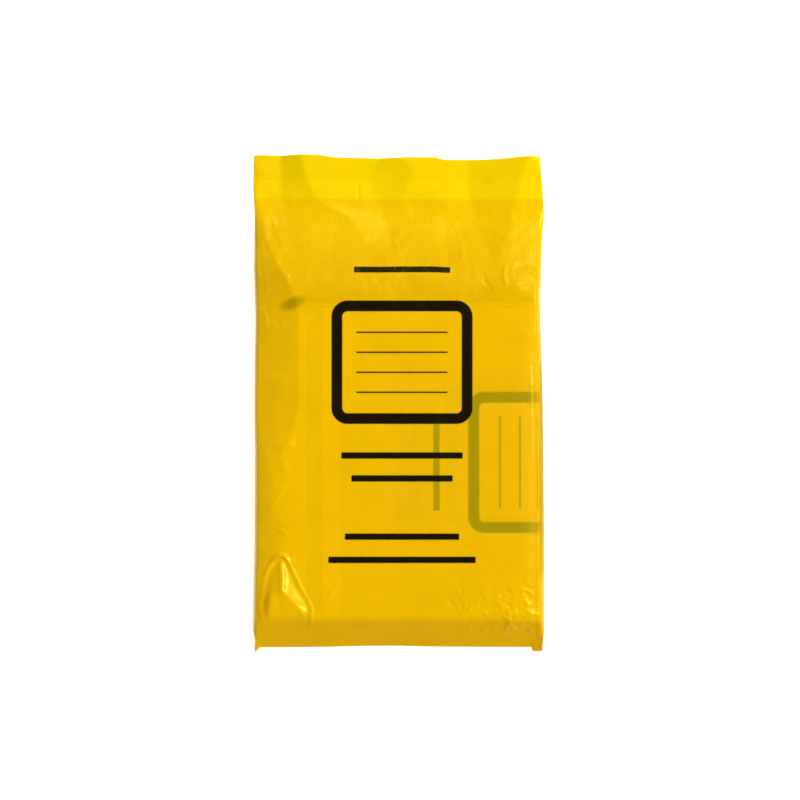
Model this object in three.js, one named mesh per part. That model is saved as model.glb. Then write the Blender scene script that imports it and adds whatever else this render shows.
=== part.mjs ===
// A small pack of yellow biohazard waste bags, lying on its back. One film bag, its mouth pressed flat,
// holds a stack of bags of the same size that are folded in half round their right-hand end.
// Millimetres. +Z is up, +Y runs along the bag towards its mouth, and +X is to the right.
// The origin is on the floor, under the middle of the pack.
import * as THREE from "three";

// Every bag of the pack, laid flat
const BAG_WIDTH = 215;
const BAG_LENGTH = 345;

// The outer bag
const FILM = 0.5; // wall of the film as modelled
const CLEARANCE = 0.35; // air between neighbouring pieces
const SIDE_SLACK = 2.3; // from the stack to the film at either side
const LEFT_ROUND = 5; // how far in from the left edge the film is rounded
const KNEE_SLACK = 5; // how far the film spans past the upper half's left end
const LOW_SIDE_SLACK = 1.6; // how far the film stands above the lower half's left end
const TAIL_RUN = 12; // plan length of the slope from the stack down to the bottom seal
const SEAL_HEIGHT = 6; // the bottom seal's height above the floor
const SEAL_GAP = 0.3; // narrowest gap between the films, at the seal
const FIN_WIDTH = 6; // flat margin outside the bottom seal
const FIN_SAG = 3; // how far the margin's edge hangs below the seal
const EAR_DROP = 3; // how far the margin's corners stand out
const LEFT_EAR = 3;
const RIGHT_EAR = 7;

// The closing strip inside the mouth
const STRIP_WIDTH = 12;
const STRIP_FROM_MOUTH = 17; // from the mouth's edge to the strip
const STRIP_THICKNESS = 0.4;
const STRIP_END_MARGIN = 2; // from the bag's side to the strip's end

// The stack of folded bags
const HALF_STACK = 9.5; // height of one half of the stack, which is also its fold's outer radius
const SHEET = 0.8; // one folded bag as modelled: two films with the air between them
const FOLD_STEP = 32.7; // how much further the stack's lower half reaches than its upper half
const TOP_SHORT = 11.5; // how far the top bag's mouth stops short of the others'
const SECOND_SHIFT = 4; // how far the second bag lies out of line along the pack
const FOLD_SLOT = 0.5; // gap between the stack's two halves
const LEAVES = 6; // leaves that show at each end of the stack
const LEAF_GAP = 0.3;
const LEAF_GAP_DEPTH = 3;
const LEAF_STAGGER = 1.2; // how far every other leaf stops short

// Folds across the mouth, from left to right. Each has its place across the bag at the mouth and where
// it dies out over the stack, from -1 at the left edge to 1 at the right, then its share of the tallest
// fold and of the deepest dip in the mouth's edge.
const TALLEST_FOLD = 6;
const DEEPEST_DIP = 3.2;
const FOLDS = [
  { mouth: -1, end: -1, height: 0.4, dip: 0 },
  { mouth: -0.87, end: -0.9, height: 0, dip: 0 },
  { mouth: -0.68, end: -0.75, height: 0.65, dip: -0.2 },
  { mouth: -0.14, end: 0, height: 0.05, dip: 0.65 },
  { mouth: 0.1, end: 0.15, height: 0.6, dip: 0.4 },
  { mouth: 0.475, end: 0.63, height: 0, dip: 1 },
  { mouth: 0.86, end: 0.72, height: 1, dip: 0.25 },
  { mouth: 1, end: 1, height: 0.4, dip: 0.2 },
];

// How finely the curved film is divided
const TAIL_ROWS = 4;
const BODY_ROWS = 7;
const RAMP_ROWS = 8;
const LEFT_ROUND_COLUMNS = 4;
const RIGHT_ROUND_COLUMNS = 6;
const COLUMN_SPACING = 13;

// Sizes of the stack, measured from the fold's outside and from the stack's underside
const stackHeight = 2 * HALF_STACK;
const sheetPitch = SHEET + CLEARANCE;
const blockInset = 2 * sheetPitch;
const stackFold = Math.PI * (HALF_STACK - blockInset) / 2; // length round the stack's middle fold
const stackReach = HALF_STACK + (BAG_LENGTH - stackFold - FOLD_STEP) / 2;
const topReach = stackReach - TOP_SHORT;
const lowerLeg = (reach, foldRadius) => BAG_LENGTH - (reach - HALF_STACK) - Math.PI * foldRadius;
const topLowerReach = HALF_STACK + lowerLeg(topReach, HALF_STACK - SHEET / 2);
const stackLowerReach = stackReach + FOLD_STEP;
const stackWidth = Math.max(stackLowerReach, topLowerReach);

// Places in the pack, with x from its middle and y from the bottom seal's outer edge
const halfWidth = stackWidth / 2 + SIDE_SLACK + FILM;
const foldX = stackWidth / 2;
const stackZ = FILM + CLEARANCE;
const stackFrontY = FIN_WIDTH + TAIL_RUN + CLEARANCE;
const plateauStartY = stackFrontY - CLEARANCE;
const plateauEndY = stackFrontY + BAG_WIDTH + SECOND_SHIFT + CLEARANCE;
const roofHeight = stackZ + stackHeight + CLEARANCE + FILM;
const edgeHeight = stackZ + HALF_STACK;
const kneeX = foldX - stackReach - KNEE_SLACK;
const lowSideX = foldX - stackWidth;
const lowSideHeight = edgeHeight + CLEARANCE + FILM + LOW_SIDE_SLACK;
const leftEdgeHeight = edgeHeight / 2;
const rightRound = halfWidth - FILM - (foldX - HALF_STACK);
const slit = STRIP_THICKNESS + 2 * CLEARANCE; // gap between the films at the flat mouth
const flatHalf = FILM + slit / 2;
const sealHalf = FILM + SEAL_GAP / 2;

// The film's length is shared out along the pack: margin, tail, stack, ramp and flat mouth
const tailPath = Math.hypot(TAIL_RUN, roofHeight - SEAL_HEIGHT);
const flatMouth = STRIP_FROM_MOUTH + STRIP_WIDTH;
const rampPath = BAG_LENGTH - FIN_WIDTH - tailPath - (plateauEndY - plateauStartY) - flatMouth;
const rampRun = Math.sqrt(rampPath ** 2 - (roofHeight - 2 * flatHalf) ** 2);
const rampEndY = plateauEndY + rampRun;
const mouthY = rampEndY + flatMouth;

const mix = (a, b, t) => a + (b - a) * t;
const share = (value, from, to) => Math.min(1, Math.max(0, (value - from) / (to - from)));

// How far along the two slopes a place lies: 1 over the stack, 0 at the seal and at the flat mouth
const tailFill = (y) => share(y, FIN_WIDTH, plateauStartY) ** 0.85;
const rampFill = (y) => (1 + Math.cos(Math.PI * share(y, plateauEndY, rampEndY))) / 2;

// A straight-line reading between the folds, at a place across the bag from -1 to 1
function acrossFolds(place, fill, key) {
  const at = (fold) => mix(fold.mouth, fold.end, fill);
  const next = Math.max(1, FOLDS.findIndex((fold) => at(fold) >= place - 1e-9));
  const [a, b] = [FOLDS[next - 1], FOLDS[next]];
  return mix(a[key], b[key], share(place, at(a), at(b)));
}

// The outer bag's section at one place: heights of the side crease, the front film and the back film
function sectionHeights(x, y) {
  const place = x / halfWidth;
  const tail = tailFill(y);
  const ramp = rampFill(y);
  const wave = TALLEST_FOLD * acrossFolds(place, ramp, "height") * (1 - ramp);
  const lowSide = mix(lowSideHeight, roofHeight, share(x, lowSideX, kneeX));
  const roof = x < kneeX ? lowSide : roofHeight;
  const crease = x < 0 ? leftEdgeHeight : edgeHeight;
  const half = y < plateauStartY ? mix(sealHalf, flatHalf, tail) : flatHalf;
  const back = y < plateauStartY ? (SEAL_HEIGHT - half) * (1 - tail) ** 2 : wave;
  const seal = { crease: SEAL_HEIGHT, front: SEAL_HEIGHT + half };
  const mouth = { crease: wave + half, front: wave + 2 * half };
  const [low, t] = y < plateauStartY ? [seal, tail] : [mouth, ramp];
  return { half, back, crease: mix(low.crease, crease, t), front: mix(low.front, roof, t) };
}

// One point of the film. side is 1 on the front and -1 on the back, and inset is the depth below the
// outer surface.
function filmPoint(place, y, side, inset) {
  const edge = halfWidth - inset;
  const x = place * edge;
  const { half, back, crease, front } = sectionHeights(x, y);
  const distance = edge - Math.abs(x);
  const radius = x < 0 ? LEFT_ROUND : rightRound;
  const rise = distance >= radius ? 1 : Math.sqrt(1 - (1 - distance / radius) ** 2);
  const start = crease + side * (half - inset);
  const target = side > 0 ? front - inset : back + inset;
  const flat = y > plateauEndY ? 1 - rampFill(y) : 0;
  const dip = DEEPEST_DIP * acrossFolds(place, rampFill(y), "dip") * flat;
  return [x, y - dip, mix(start, target, rise)];
}

// The margin outside the bottom seal: its outer edge hangs, and its corners stand out as ears
function marginPoint(place, side) {
  const x = place * halfWidth;
  const ear = halfWidth - Math.abs(x) <= (x < 0 ? LEFT_EAR : RIGHT_EAR);
  return [x, ear ? -EAR_DROP : 0, SEAL_HEIGHT - FIN_SAG * (ear ? 1.4 : 1) + side * FILM];
}

// Places across the bag, close together where its sides are rounded
function columnPlaces() {
  const rounding = (radius, count, i) => radius * (1 - Math.cos((i / count) * (Math.PI / 2)));
  const places = [];
  for (let i = 0; i < LEFT_ROUND_COLUMNS; i++) {
    places.push(-halfWidth + rounding(LEFT_ROUND, LEFT_ROUND_COLUMNS, i));
  }
  const left = -halfWidth + LEFT_ROUND;
  const right = halfWidth - rightRound;
  const leftSpans = Math.max(1, Math.round((kneeX - left) / COLUMN_SPACING));
  const rightSpans = Math.round((right - kneeX) / COLUMN_SPACING);
  for (let i = 0; i < leftSpans; i++) places.push(mix(left, kneeX, i / leftSpans));
  for (let i = 0; i < rightSpans; i++) places.push(mix(kneeX, right, i / rightSpans));
  for (let i = RIGHT_ROUND_COLUMNS; i >= 0; i--) {
    places.push(halfWidth - rounding(rightRound, RIGHT_ROUND_COLUMNS, i));
  }
  return places.map((x) => x / halfWidth);
}

// Places along the bag, from the bottom seal to the mouth
function rowPlaces() {
  const spread = (from, to, count) =>
    Array.from({ length: count }, (_, i) => mix(from, to, (i + 1) / count));
  return [
    FIN_WIDTH,
    ...spread(FIN_WIDTH, plateauStartY, TAIL_ROWS),
    ...spread(plateauStartY, plateauEndY, BODY_ROWS),
    ...spread(plateauEndY, rampEndY, RAMP_ROWS),
    mix(mouthY - STRIP_FROM_MOUTH, rampEndY, 0.5),
    mouthY - STRIP_FROM_MOUTH,
    mix(mouthY - STRIP_FROM_MOUTH, mouthY, 0.5),
    mouthY,
  ];
}

function meshGeometry(points, triangles) {
  const geometry = new THREE.BufferGeometry();
  geometry.setAttribute("position", new THREE.Float32BufferAttribute(points.flat(), 3));
  geometry.setIndex(triangles.flat());
  geometry.computeVertexNormals();
  return geometry;
}

// Two triangles for each cell between two rings of points, facing out when the rings run
// counter-clockwise as seen from the first ring's side
function joinRings(first, second, count) {
  const triangles = [];
  for (let i = 0; i < count; i++) {
    const next = (i + 1) % count;
    triangles.push([first + i, first + next, second + next], [first + i, second + next, second + i]);
  }
  return triangles;
}

// A flat cap over a ring whose first half runs across the front and whose second half runs back
function capRing(first, count) {
  const triangles = [];
  for (let i = 0; i < count / 2 - 1; i++) {
    const [a, b, c, d] = [first + i, first + i + 1, first + count - 2 - i, first + count - 1 - i];
    triangles.push([a, c, b], [a, d, c]);
  }
  return triangles;
}

const flip = (triangles) => triangles.map(([a, b, c]) => [a, c, b]);

// The outer bag is one film tube, sealed at the bottom and open at its pressed mouth
function outerBagGeometry() {
  const columns = columnPlaces();
  const rows = rowPlaces();
  const ring = 2 * columns.length;
  const loop = (pointOf) => [
    ...columns.map((place) => pointOf(place, 1)),
    ...columns.toReversed().map((place) => pointOf(place, -1)),
  ];
  const points = loop(marginPoint);
  for (const y of rows) {
    points.push(...loop((place, side) => filmPoint(place, y, side, 0)));
  }
  for (const y of rows.toReversed()) {
    points.push(...loop((place, side) => filmPoint(place, y, side, FILM)));
  }
  const triangles = capRing(0, ring);
  const lastRing = 2 * rows.length;
  for (let i = 0; i < lastRing; i++) triangles.push(...joinRings(i * ring, (i + 1) * ring, ring));
  triangles.push(...flip(capRing(lastRing * ring, ring)));
  return meshGeometry(points, triangles);
}

// The closing strip lies between the two films and follows their folds
function adhesiveStripGeometry() {
  const margin = 1 - STRIP_END_MARGIN / halfWidth;
  const inner = [...new Set(columnPlaces().map((place) => Math.min(margin, Math.max(-margin, place))))];
  const rows = [mouthY - STRIP_FROM_MOUTH - STRIP_WIDTH, mouthY - STRIP_FROM_MOUTH];
  const level = (place, y, side) => {
    const [x, along, front] = filmPoint(place, y, 1, FILM);
    const back = filmPoint(place, y, -1, FILM)[2];
    return [x, along, (front + back) / 2 + (side * STRIP_THICKNESS) / 2];
  };
  const points = rows.flatMap((y) => [
    ...inner.map((place) => level(place, y, 1)),
    ...inner.toReversed().map((place) => level(place, y, -1)),
  ]);
  const ring = 2 * inner.length;
  const triangles = [...capRing(0, ring), ...joinRings(0, ring, ring), ...flip(capRing(ring, ring))];
  return meshGeometry(points, triangles);
}

// A profile drawn in x and z, carried along the pack from its front end
function alongPack(outline, start, length) {
  const geometry = new THREE.ExtrudeGeometry(outline, { depth: length, bevelEnabled: false, curveSegments: 16 });
  geometry.rotateX(Math.PI / 2);
  geometry.translate(foldX, start + length, stackZ);
  return geometry;
}

// One bag folded in half round the stack: an upper leg, the fold and a longer lower leg
function foldedBagOutline(inset, reach) {
  const outside = HALF_STACK - inset;
  const inside = outside - SHEET;
  const lowerEnd = -HALF_STACK - lowerLeg(reach, outside - SHEET / 2);
  const outline = new THREE.Shape();
  outline.moveTo(-reach, HALF_STACK + inside);
  outline.lineTo(-HALF_STACK, HALF_STACK + inside);
  outline.absarc(-HALF_STACK, HALF_STACK, inside, Math.PI / 2, -Math.PI / 2, true);
  outline.lineTo(lowerEnd, HALF_STACK - inside);
  outline.lineTo(lowerEnd, HALF_STACK - outside);
  outline.lineTo(-HALF_STACK, HALF_STACK - outside);
  outline.absarc(-HALF_STACK, HALF_STACK, outside, -Math.PI / 2, Math.PI / 2, false);
  outline.lineTo(-reach, HALF_STACK + outside);
  outline.closePath();
  return outline;
}

// The rest of the stack, with the leaves' gaps cut into its two open ends
function foldedStackOutline() {
  const outside = HALF_STACK - blockInset;
  const slotHalf = FOLD_SLOT / 2;
  const leaf = (outside - slotHalf) / LEAVES;
  const outline = new THREE.Shape();
  // Corners of one open end, from the outermost leaf inwards; direction is 1 above the slot, -1 below
  const openEnd = (reach, direction) => {
    const corners = [];
    for (let i = 0; i < LEAVES; i++) {
      const end = -reach + (i % 2) * LEAF_STAGGER;
      const top = outside - i * leaf - (i === 0 ? 0 : LEAF_GAP / 2);
      const bottom = outside - (i + 1) * leaf + (i === LEAVES - 1 ? 0 : LEAF_GAP / 2);
      corners.push([end, HALF_STACK + direction * top], [end, HALF_STACK + direction * bottom]);
      if (i < LEAVES - 1) {
        corners.push([-reach + LEAF_GAP_DEPTH, HALF_STACK + direction * (outside - (i + 1) * leaf)]);
      }
    }
    return corners;
  };
  const upper = openEnd(stackReach, 1);
  const lower = openEnd(stackLowerReach, -1).toReversed();
  outline.moveTo(...upper[0]);
  for (const corner of upper.slice(1)) outline.lineTo(...corner);
  outline.lineTo(-HALF_STACK, HALF_STACK + slotHalf);
  outline.absarc(-HALF_STACK, HALF_STACK, slotHalf, Math.PI / 2, -Math.PI / 2, true);
  for (const corner of lower) outline.lineTo(...corner);
  outline.lineTo(-HALF_STACK, HALF_STACK - outside);
  outline.absarc(-HALF_STACK, HALF_STACK, outside, -Math.PI / 2, Math.PI / 2, false);
  outline.closePath();
  return outline;
}

const film = new THREE.MeshStandardMaterial({ color: 0xf3bd05, roughness: 0.35, metalness: 0 });
const foldedFilm = new THREE.MeshStandardMaterial({ color: 0xf0b800, roughness: 0.45, metalness: 0 });
const stripTape = new THREE.MeshStandardMaterial({ color: 0xf6d648, roughness: 0.5, metalness: 0 });

function piece(name, geometry, material) {
  const mesh = new THREE.Mesh(geometry, material);
  mesh.name = name;
  return mesh;
}

const pack = new THREE.Group();
const topBag = alongPack(foldedBagOutline(0, topReach), stackFrontY, BAG_WIDTH);
const secondBag = alongPack(foldedBagOutline(sheetPitch, stackReach), stackFrontY + SECOND_SHIFT, BAG_WIDTH);
const otherBags = alongPack(foldedStackOutline(), stackFrontY, BAG_WIDTH);
pack.add(piece("outer_bag", outerBagGeometry(), film));
pack.add(piece("adhesive_strip", adhesiveStripGeometry(), stripTape));
pack.add(piece("top_folded_bag", topBag, foldedFilm));
pack.add(piece("second_folded_bag", secondBag, foldedFilm));
pack.add(piece("folded_bag_stack", otherBags, foldedFilm));

// The origin goes under the middle of the pack, on the floor
const bounds = new THREE.Box3().setFromObject(pack);
const middle = bounds.getCenter(new THREE.Vector3());
pack.position.set(-middle.x, -middle.y, -bounds.min.z);

export default pack;
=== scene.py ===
"""A small pack of yellow film waste bags, lying on its back and seen from straight above.

One film bag, its mouth pressed flat, wraps a stack of the same bags folded in half. The film is thin
enough for the folded bags' print and edges to show through it.
"""

import math

import bpy
import numpy as np
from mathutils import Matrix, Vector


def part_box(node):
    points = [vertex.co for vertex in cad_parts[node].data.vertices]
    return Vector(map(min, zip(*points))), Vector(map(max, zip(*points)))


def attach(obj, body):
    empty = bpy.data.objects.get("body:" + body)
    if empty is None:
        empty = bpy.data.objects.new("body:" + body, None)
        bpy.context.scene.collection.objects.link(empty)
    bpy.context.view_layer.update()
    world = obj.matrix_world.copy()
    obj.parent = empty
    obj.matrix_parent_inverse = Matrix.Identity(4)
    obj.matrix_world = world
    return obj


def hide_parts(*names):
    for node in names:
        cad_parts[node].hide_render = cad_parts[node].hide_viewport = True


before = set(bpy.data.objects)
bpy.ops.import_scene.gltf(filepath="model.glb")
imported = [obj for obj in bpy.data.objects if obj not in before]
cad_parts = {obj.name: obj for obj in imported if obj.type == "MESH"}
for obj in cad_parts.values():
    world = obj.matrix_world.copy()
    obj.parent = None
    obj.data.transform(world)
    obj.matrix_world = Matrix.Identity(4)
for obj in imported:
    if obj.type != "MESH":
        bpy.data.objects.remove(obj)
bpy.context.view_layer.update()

# Everything below is in millimetres until a mesh is written
MM = 0.001

# The photograph: its width, the pixel over the middle of the bag, and how long one pixel is on the bag
PHOTO_WIDTH = 800
MIDDLE_PIXEL = (398.5, 402.5)
PIXEL = 0.6825


def node_box(name):
    """Lowest and highest corner of a CAD node, in millimetres."""
    low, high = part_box(name)
    return np.array(low) / MM, np.array(high) / MM


BAG_LOW, BAG_HIGH = node_box("outer_bag")
TOP_LOW, TOP_HIGH = node_box("top_folded_bag")
SECOND_LOW = node_box("second_folded_bag")[0]
CORE_LOW = node_box("folded_bag_stack")[0]

# The outer bag
FIN = 6.0  # margin outside the bottom seal
EAR_DROP = 3.0  # how far the margin's corners stand out past it
EAR_SAG = 1.2  # how much lower they hang
MOUTH_RISE = 0.6  # how far the mouth's edge rises above its mean line at its highest
SEAL_Y = BAG_LOW[1] + EAR_DROP + FIN
MOUTH_Y = BAG_HIGH[1] - MOUTH_RISE
SEAL_Z = 8.5
FIN_EDGE_Z = 3.5
HALF_WIDTH = BAG_HIGH[0]
FILM_LIFT = 0.15  # from the film to what it lies on
FLAT_GAP = 0.9  # between the two films at the flat mouth
FLAT_MOUTH = 29.0  # length of the mouth that lies flat
RAMP_END = MOUTH_Y - FLAT_MOUTH
STRIP_FROM_MOUTH = 17.0
STRIP_WIDTH = 12.0
STRIP_SHORT = (1.5, 2.5)  # how far short of the bag's left and right side it ends
LEFT_ROUND = 2.6  # how far in from its left side the front is round
RIGHT_ROUND = 4.6
RIGHT_LEAN_FROM = 74.0  # from here the front leans a little to the right

# The stack of folded bags
STACK_TOP = TOP_HIGH[2]
STACK_BOTTOM = TOP_LOW[2]
HALF_STACK = (STACK_TOP - STACK_BOTTOM) / 2
STACK_MIDDLE = (STACK_TOP + STACK_BOTTOM) / 2
STACK_FRONT = TOP_LOW[1]
STACK_BACK = TOP_HIGH[1]
FOLD_FROM_SIDE = 2.8
TOP_REACH = 148.5  # from the fold to the top bag's mouth
OTHER_REACH = 160.0  # and to the other bags' mouths
SECOND_DEPTH = 0.6  # from the top bag's film to the second's
FOLD_X = HALF_WIDTH - FOLD_FROM_SIDE
TOP_MOUTH_X = TOP_HIGH[0] - TOP_REACH
OTHER_MOUTH_X = TOP_HIGH[0] - OTHER_REACH
LOWER_MOUTH_X = CORE_LOW[0]
EDGE_DROOP = 1.3  # how far the stack's top layers hang at its two open sides
EDGE_DROOP_RUN = 7.0
TAIL_STEEPNESS = 0.84  # how steeply the front falls past the stack's front edge


# Plain curves

def share(value, low, high):
    """How far value lies from low to high, held between 0 and 1."""
    return np.clip((value - low) / (high - low), 0, 1)


def ease(t):
    """A smooth step: 3 t squared minus 2 t cubed."""
    return t * t * (3 - 2 * t)


def mix(a, b, t):
    """From a to b as t goes from 0 to 1."""
    return a + (b - a) * t


def soft_min(a, b, width):
    """The lower of two heights, with a rounded corner of that width where they meet."""
    t = np.clip(0.5 + (b - a) / (2 * width), 0, 1)
    return mix(b, a, t) - width * t * (1 - t)


def bell(distance, width):
    """1 on a line, falling to each side as the exponential of minus the squared distance."""
    return np.exp(-((distance / width) ** 2))


def from_photo(px, py):
    """A place on the photograph as x and y on the bag."""
    return (px - MIDDLE_PIXEL[0]) * PIXEL, (MIDDLE_PIXEL[1] - py) * PIXEL


def to_path(x, y, points):
    """Distance from each place to a path of straight pieces, and how far along the path, from 0 to 1."""
    points = np.array(points, float)
    steps = np.diff(points, axis=0)
    lengths = np.hypot(*steps.T)
    nearest = np.full(np.shape(x), np.inf)
    along = np.zeros(np.shape(x))
    walked = 0.0
    for start, step, length in zip(points, steps, lengths):
        t = np.clip(((x - start[0]) * step[0] + (y - start[1]) * step[1]) / length**2, 0, 1)
        distance = np.hypot(x - start[0] - t * step[0], y - start[1] - t * step[1])
        closer = distance < nearest
        along = np.where(closer, (walked + t * length) / lengths.sum(), along)
        nearest = np.where(closer, distance, nearest)
        walked += length
    return nearest, along


def cut_corners(points, closed=False):
    """A path in photograph pixels as a smooth one on the bag: each corner is cut off, three times over."""
    points = np.array([from_photo(*point) for point in points])
    for _ in range(3):
        before, after = (points, np.roll(points, -1, axis=0)) if closed else (points[:-1], points[1:])
        cut = np.stack([mix(before, after, 0.25), mix(before, after, 0.75)], axis=1).reshape(-1, 2)
        points = cut if closed else np.concatenate([points[:1], cut, points[-1:]])
    return points


def inside(x, y, points):
    """True inside a closed outline, counted by how often a line to the right crosses it."""
    crossings = np.zeros(np.shape(x), int)
    points = np.array(points, float)
    for (ax, ay), (bx, by) in zip(points, np.roll(points, -1, axis=0)):
        spans = (ay > y) != (by > y)
        crossings += spans & (x < ax + (y - ay) * (bx - ax) / (by - ay + 1e-12))
    return crossings % 2 == 1


def waves(x, y, seed, length, count=14):
    """Smooth unevenness between about -1 and 1: plane waves of near that length, in seeded directions."""
    draw = np.random.default_rng(seed)
    total = np.zeros(np.shape(x))
    for turn, phase, stretch in draw.uniform((0, 0, 0.7), (math.tau, math.tau, 1.5), (count, 3)):
        run = (x * math.cos(turn) + y * math.sin(turn)) / (length * stretch)
        total += np.sin(math.tau * run + phase)
    return total / math.sqrt(count)


def facets(x, y, seed, length, count=7):
    """Crumpled unevenness between about -1 and 1: triangle waves whose straight crests are bent a little."""
    draw = np.random.default_rng(seed)
    bend = waves(x, y, seed + 1, 2.2 * length) * 0.35
    total = np.zeros(np.shape(x))
    for turn, phase, stretch in draw.uniform((0, 0, 0.7), (math.pi, 1, 1.7), (count, 3)):
        run = (x * math.cos(turn) + y * math.sin(turn)) / (length * stretch) + phase + bend
        total += 1 - 4 * np.abs((run % 1) - 0.5)
    return total / math.sqrt(count)


# The film's main form

# Fold lines down from the mouth, left to right: where each runs, in photograph pixels from the mouth's
# edge to its end, and its height at the mouth in millimetres. Crests and valleys take turns.
FOLD_LINES = [
    {"path": [(251, 155), (251, 203), (258, 262)], "height": 2.4},
    {"path": [(260, 155), (257, 205), (265, 237), (277.5, 263.5), (289, 284)], "height": 2.3},
    {"path": [(281, 155), (281, 203), (306, 284)], "height": 0.2},
    {"path": [(300, 155), (307, 180), (316, 199), (348, 214), (388, 262)], "height": 4.2},
    {"path": [(378, 157), (368, 179), (377, 195), (402, 262)], "height": 0.3},
    {"path": [(403, 157), (414, 171), (406, 186), (402, 198), (402.5, 222)], "height": 3.4},
    {"path": [(468.5, 159), (468.5, 183), (476, 213), (493, 266)], "height": 0.1},
    {"path": [(530, 155), (519, 189), (509, 223), (496, 266)], "height": 6.2},
    {"path": [(546, 156), (546, 193), (546, 266)], "height": 4.2},
]
FOLD_SOFTNESS = 1.5  # half the width over which a fold line is rounded
# How far the mouth's edge lies from its mean line, across the bag in photograph pixels
MOUTH_EDGE = {
    254: -0.2, 260: 0.0, 284: -0.2, 300: 0.6, 320: 0.1, 334: -1.4, 380: -2.2, 392: -1.8, 410: -1.3,
    434: -1.4, 446: -3.2, 476: -3.2, 500: -2.5, 512: -1.8, 530: -0.5, 544: -1.0,
}
# How far each side stands out from the mean, and how much narrower the creased film is than its widest
SIDE_INSET = 0.8
LEFT_SIDE = {150: 0.3, 190: 0.7, 216: -0.3, 270: 0.2, 318: -0.9, 352: -0.4, 414: -0.1, 455: -0.4,
             550: -0.1, 592: 0.6, 630: 0.9, 639: -0.6, 650: 0.2}
RIGHT_SIDE = {150: -1.8, 174: -0.6, 206: 1.0, 216: 1.0, 230: 0.1, 296: -1.4, 318: -1.6, 350: -0.8,
              390: 0.0, 454: 0.6, 542: 1.0, 630: 1.2, 638: 0.4, 650: -0.3}
# How far the bottom edge lies past its mean line, across the bag in photograph pixels
BOTTOM_EDGE = {256: 0.5, 304: 0.4, 330: 0.1, 364: -0.4, 400: -0.5, 428: 0.0, 500: 0.3, 544: 0.3}


def across(table, x):
    """A height read along x from a table keyed by photograph pixels."""
    return np.interp(x, [from_photo(px, 0)[0] for px in table], list(table.values()))


def along(table, y):
    """A height read along y from a table keyed by photograph pixels."""
    places = [from_photo(0, py)[1] for py in table]
    return np.interp(y, places[::-1], list(table.values())[::-1])


def side_bulge(place, y):
    """How far the side stands out of the mean width, fading to nothing towards the middle."""
    left = (SIDE_INSET - along(LEFT_SIDE, y)) * share(-place, 0.5, 1) ** 2
    right = (along(RIGHT_SIDE, y) - SIDE_INSET) * share(place, 0.5, 1) ** 2
    return left + right


def ramp_fill(y):
    """1 over the stack and 0 at the flat mouth, falling as half a cosine wave."""
    return (1 + np.cos(math.pi * share(y, STACK_BACK + 1, RAMP_END))) / 2


def sharp_folds(x, y):
    """Height of the mouth's folds: straight slopes between fold lines, which taper towards their ends."""
    total = np.zeros(np.shape(x))
    before = None
    for line in FOLD_LINES:
        spots = np.array([from_photo(*spot) for spot in line["path"]])[::-1]
        place = np.interp(y, spots[:, 1], spots[:, 0])
        height = line["height"] * share(y, spots[0, 1], spots[-1, 1]) ** 0.85
        if before is None:
            total += height
        else:
            total += (height - before[1]) * share(x, before[0], np.maximum(place, before[0] + 1.0))
        before = (place, height)
    return total


def fold_height(x, y):
    """The mouth's folds with their lines rounded: the mean of five places side by side."""
    return sum(sharp_folds(x + step * FOLD_SOFTNESS, y) for step in (-1, -0.5, 0, 0.5, 1)) / 5


# Where the front begins to fall to the left, and how much of that fall is flat rather than round
LEFT_FALL = [
    (256, 205), (265, 237), (277.5, 263.5), (290, 286), (297, 306), (299, 320), (299, 400), (296, 420),
    (290, 438), (285, 452), (285, 640),
]
FLAT_SHARE = {200: 1.0, 290: 1.0, 330: 0.8, 370: 0.75, 420: 0.85, 446: 0.4, 480: 0.1, 640: 0.1}
LEFT_CURVE = 0.0128  # the round fall to the left, for each square millimetre past the line
LEFT_SLOPES = (0.31, 0.29)  # the flat fall to the left, over the stack and past its back edge
RIGHT_CURVE = 0.0034
TAIL_ROUND = 2.6  # width of the rounded corner between the level front and the tail


def left_drop(x, y):
    """How far the front falls to the left: partly as the square of the way past the line, partly evenly."""
    spots = np.array([from_photo(*spot) for spot in LEFT_FALL])[::-1]
    past = np.maximum(np.interp(y, spots[:, 1], spots[:, 0]) - x, 0)
    steep = mix(*LEFT_SLOPES, share(y, STACK_BACK, STACK_BACK + 15))
    return mix(LEFT_CURVE * past**2, steep * past, along(FLAT_SHARE, y))


def right_lean(x):
    """How far the front falls to the right before its rounded edge: the square of the way past a line."""
    return RIGHT_CURVE * np.maximum(x - RIGHT_LEAN_FROM, 0) ** 2


def droop(y):
    """How far the stack's top hangs at its open sides: the square of the way into the edge's run."""
    near = 1 - share(np.minimum(y - STACK_FRONT, STACK_BACK - y), 0, EDGE_DROOP_RUN)
    return EDGE_DROOP * near**2


def stack_level(x, y, level):
    """A layer of the stack: its level, pulled towards the middle near the open sides, a little uneven."""
    pull = 1 - (droop(y) + right_lean(x) * (level > STACK_MIDDLE)) / HALF_STACK
    uneven = 0.12 * waves(x, y, 5, 46) + 0.05 * waves(x, y, 6, 17)
    return STACK_MIDDLE + (level - STACK_MIDDLE) * pull + np.sign(level - STACK_MIDDLE) * (uneven - 0.17)


def crease_height(x, y):
    """Height of the side crease: mid-stack on the right, lower on the left, and the ends' own at the ends."""
    body = np.where(x < 0, STACK_MIDDLE / 2, STACK_MIDDLE)
    tail = share(y, SEAL_Y, STACK_FRONT)
    mouth = fold_height(x, y) * (1 - ramp_fill(y)) + FLAT_GAP / 2 + FILM_LIFT
    return np.where(y < STACK_FRONT, mix(SEAL_Z, body, ease(tail)), mix(mouth, body, ramp_fill(y)))


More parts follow.
